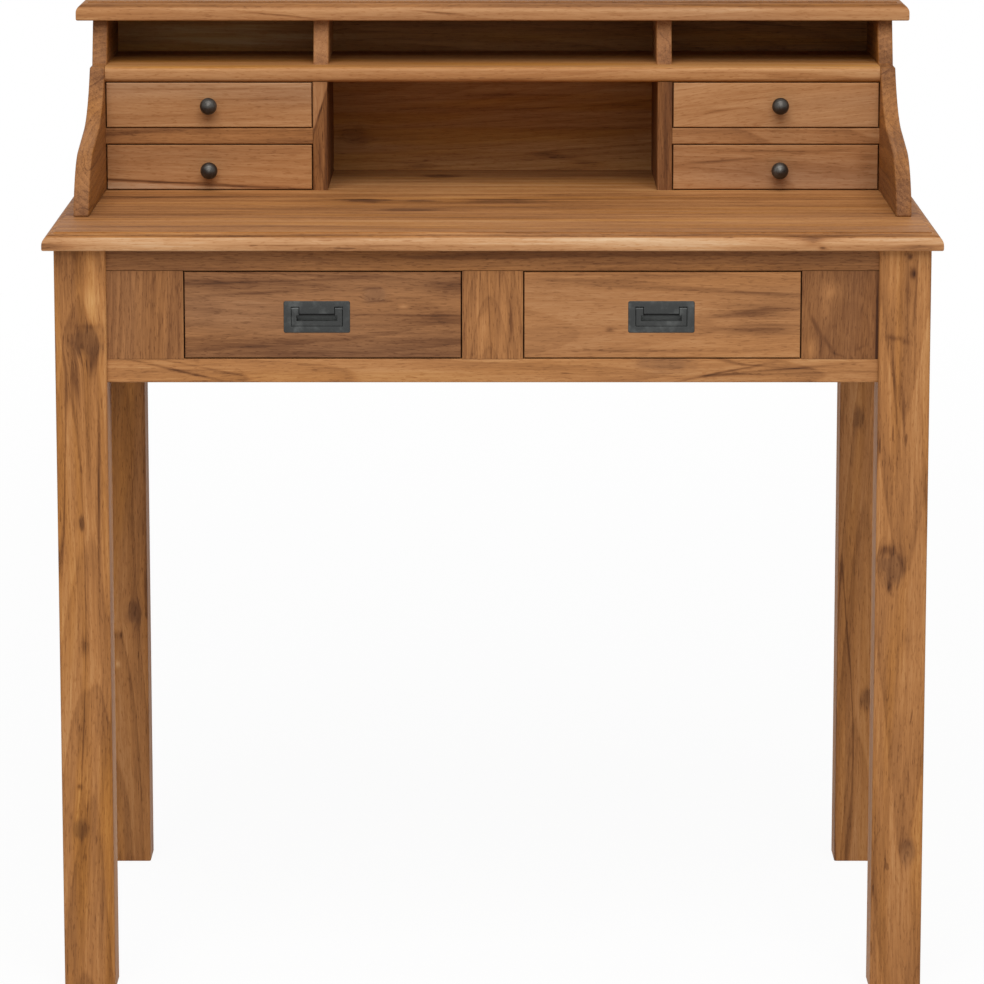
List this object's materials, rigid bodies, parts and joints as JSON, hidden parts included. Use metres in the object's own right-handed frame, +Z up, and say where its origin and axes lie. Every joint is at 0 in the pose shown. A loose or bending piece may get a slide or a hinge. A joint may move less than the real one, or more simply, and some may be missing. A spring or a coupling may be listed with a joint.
{
  "type": "campaign desk",
  "caption": "Teak writing desk with straight legs, drawers with flush iron pulls, and a stepped hutch with scrolled sides, small knobbed drawers and pigeonholes.",
  "frame": {"origin": "on the floor under the middle of the desktop", "axes": "+X to the sitter's right, +Y to the back, +Z up"},
  "size_m": [0.9, 0.6, 0.9815],
  "materials": {
    "teak": "oiled satin",
    "drawer_wood": "unfinished",
    "pull_iron": "dark matte",
    "knob_bronze": "dark satin"
  },
  "bodies": {
    "desk_frame": {"desktop": "teak", "front_left_leg": "teak", "front_right_leg": "teak", "back_left_leg": "teak", "back_right_leg": "teak", "front_top_rail": "teak", "front_bottom_rail": "teak", "left_front_stile": "teak", "centre_front_stile": "teak", "right_front_stile": "teak", "left_side_apron": "teak", "right_side_apron": "teak", "back_apron": "teak", "drawer_runners": "drawer_wood", "drawer_kickers": "drawer_wood", "drawer_stops": "drawer_wood", "hutch_left_side": "teak", "hutch_right_side": "teak", "hutch_shelf": "teak", "left_partition": "teak", "right_partition": "teak", "left_small_drawer_rail": "teak", "right_small_drawer_rail": "teak", "left_pigeonhole_divider": "teak", "right_pigeonhole_divider": "teak", "hutch_top": "teak", "hutch_back_panel": "teak"},
    "left_drawer": {"left_drawer_front": "teak", "left_drawer_left_side": "drawer_wood", "left_drawer_right_side": "drawer_wood", "left_drawer_back": "drawer_wood", "left_drawer_bottom": "drawer_wood", "left_pull_plate": "pull_iron", "left_pull_pins": "pull_iron"},
    "left_bail": {"left_pull_bail": "pull_iron"},
    "right_drawer": {"right_drawer_front": "teak", "right_drawer_left_side": "drawer_wood", "right_drawer_right_side": "drawer_wood", "right_drawer_back": "drawer_wood", "right_drawer_bottom": "drawer_wood", "right_pull_plate": "pull_iron", "right_pull_pins": "pull_iron"},
    "right_bail": {"right_pull_bail": "pull_iron"},
    "lower_left_small_drawer": {"lower_left_small_drawer_front": "teak", "lower_left_small_drawer_box": "drawer_wood", "lower_left_small_drawer_bottom": "drawer_wood", "lower_left_knob": "knob_bronze"},
    "upper_left_small_drawer": {"upper_left_small_drawer_front": "teak", "upper_left_small_drawer_box": "drawer_wood", "upper_left_small_drawer_bottom": "drawer_wood", "upper_left_knob": "knob_bronze"},
    "lower_right_small_drawer": {"lower_right_small_drawer_front": "teak", "lower_right_small_drawer_box": "drawer_wood", "lower_right_small_drawer_bottom": "drawer_wood", "lower_right_knob": "knob_bronze"},
    "upper_right_small_drawer": {"upper_right_small_drawer_front": "teak", "upper_right_small_drawer_box": "drawer_wood", "upper_right_small_drawer_bottom": "drawer_wood", "upper_right_knob": "knob_bronze"}
  },
  "joints": [
    {"name": "left_drawer_slide", "type": "slide", "parent": "desk_frame", "child": "left_drawer", "axis": [0, -1, 0], "range_m": [0, 0.33]},
    {"name": "left_bail_swing", "type": "hinge", "parent": "left_drawer", "child": "left_bail", "pos_m": [-0.17625, -0.2814, 0.7045], "axis": [-1, 0, 0], "range_deg": [0, 90]},
    {"name": "right_drawer_slide", "type": "slide", "parent": "desk_frame", "child": "right_drawer", "axis": [0, -1, 0], "range_m": [0, 0.33]},
    {"name": "right_bail_swing", "type": "hinge", "parent": "right_drawer", "child": "right_bail", "pos_m": [0.16925, -0.2814, 0.7045], "axis": [-1, 0, 0], "range_deg": [0, 90]},
    {"name": "lower_left_small_drawer_slide", "type": "slide", "parent": "desk_frame", "child": "lower_left_small_drawer", "axis": [0, -1, 0], "range_m": [0, 0.13]},
    {"name": "upper_left_small_drawer_slide", "type": "slide", "parent": "desk_frame", "child": "upper_left_small_drawer", "axis": [0, -1, 0], "range_m": [0, 0.13]},
    {"name": "lower_right_small_drawer_slide", "type": "slide", "parent": "desk_frame", "child": "lower_right_small_drawer", "axis": [0, -1, 0], "range_m": [0, 0.13]},
    {"name": "upper_right_small_drawer_slide", "type": "slide", "parent": "desk_frame", "child": "upper_right_small_drawer", "axis": [0, -1, 0], "range_m": [0, 0.13]}
  ]
}
